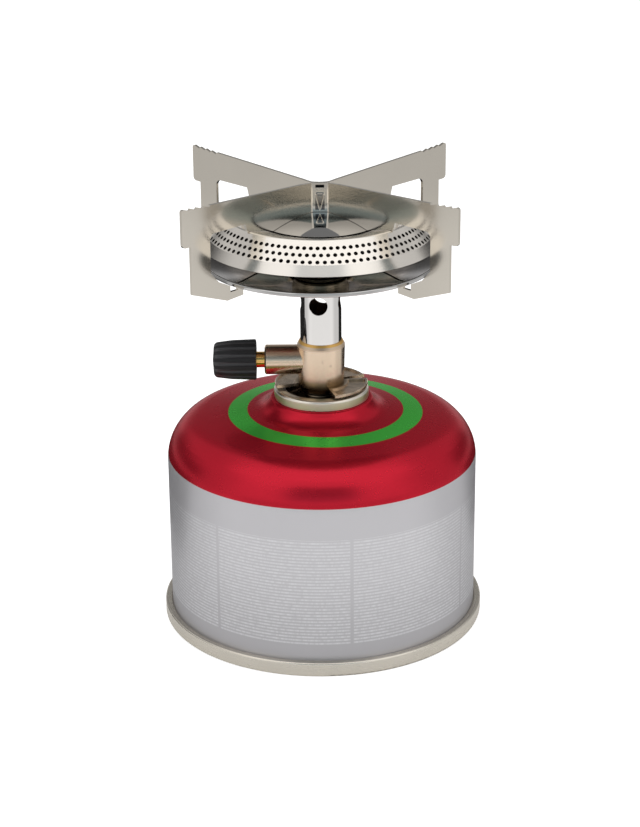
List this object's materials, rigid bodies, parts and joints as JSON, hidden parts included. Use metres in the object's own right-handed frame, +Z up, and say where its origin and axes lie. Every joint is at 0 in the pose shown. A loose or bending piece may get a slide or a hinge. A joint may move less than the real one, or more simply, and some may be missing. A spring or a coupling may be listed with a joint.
{
  "type": "camping gas stove",
  "caption": "Screw-on camping gas burner with folded cross-shaped pot supports, drip dish, side valve knob and its domed gas canister.",
  "frame": {"origin": "centre of the canister's foot, on the surface it stands on", "axes": "+Z up along the canister and burner axis; the valve knob points to -X"},
  "size_m": [0.11, 0.11, 0.1553],
  "materials": {
    "can_paint": "glossy red over satin grey",
    "seam_tin": "bare tinplate",
    "cup_tin": "bare tinplate",
    "black_rubber": "matte",
    "white_plastic": "natural",
    "spring_steel": "bright",
    "plated_brass": "satin nickel",
    "bare_brass": "turned",
    "black_plastic": "satin",
    "plated_tube": "bright nickel",
    "black_cast": "blackened",
    "polished_steel": "mirror",
    "burner_steel": "fine brushed",
    "support_steel": "rolled sheet"
  },
  "bodies": {
    "canister": {"canister_shell": "can_paint", "canister_base": "seam_tin", "valve_cup": "cup_tin", "cup_gasket": "black_rubber", "stem_gasket": "black_rubber", "valve_housing": "white_plastic"},
    "plunger": {"valve_plunger": "white_plastic", "valve_spring": "spring_steel"},
    "socket_ring": {"canister_seal": "black_rubber"},
    "stove": {"valve_body": "plated_brass", "actuator_pin": "bare_brass", "inlet_filter": "bare_brass", "jet": "bare_brass", "mixing_tube": "plated_tube", "burner_collar": "black_cast", "drip_dish": "polished_steel", "burner_pan": "burner_steel", "burner_cap": "burner_steel", "burner_disc": "polished_steel", "support_front": "support_steel", "support_back": "support_steel"},
    "needle_ring": {"spindle_seal": "black_rubber"},
    "needle": {"spindle": "bare_brass", "knob": "black_plastic"}
  },
  "joints": [
    {"name": "stove_lift", "type": "slide", "parent": "canister", "child": "socket_ring", "axis": [0, 0, 1], "range_m": [0, 0.00409]},
    {"name": "stove_unscrew", "type": "hinge", "parent": "socket_ring", "child": "stove", "pos_m": [0, 0, 0.0866], "axis": [0, 0, 1], "range_deg": [0, 1620]},
    {"name": "plunger_rise", "type": "slide", "parent": "canister", "child": "plunger", "axis": [0, 0, 1], "range_m": [0, 0.0012], "deforming": ["valve_spring"]},
    {"name": "needle_slide", "type": "slide", "parent": "stove", "child": "needle_ring", "axis": [-1, 0, 0], "range_m": [0, 0.00187]},
    {"name": "knob_turn", "type": "hinge", "parent": "needle_ring", "child": "needle", "pos_m": [-0.02, 0, 0.09135], "axis": [-1, 0, 0], "range_deg": [0, 901]}
  ],
  "couplings": [
    {"joint": "stove_lift", "follows": "stove_unscrew", "m_per_rad": 0.00014438},
    {"joint": "plunger_rise", "follows": "stove_unscrew", "m_per_rad": 0.0000424},
    {"joint": "knob_turn", "follows": "needle_slide", "rad_per_m": 8377.6}
  ]
}
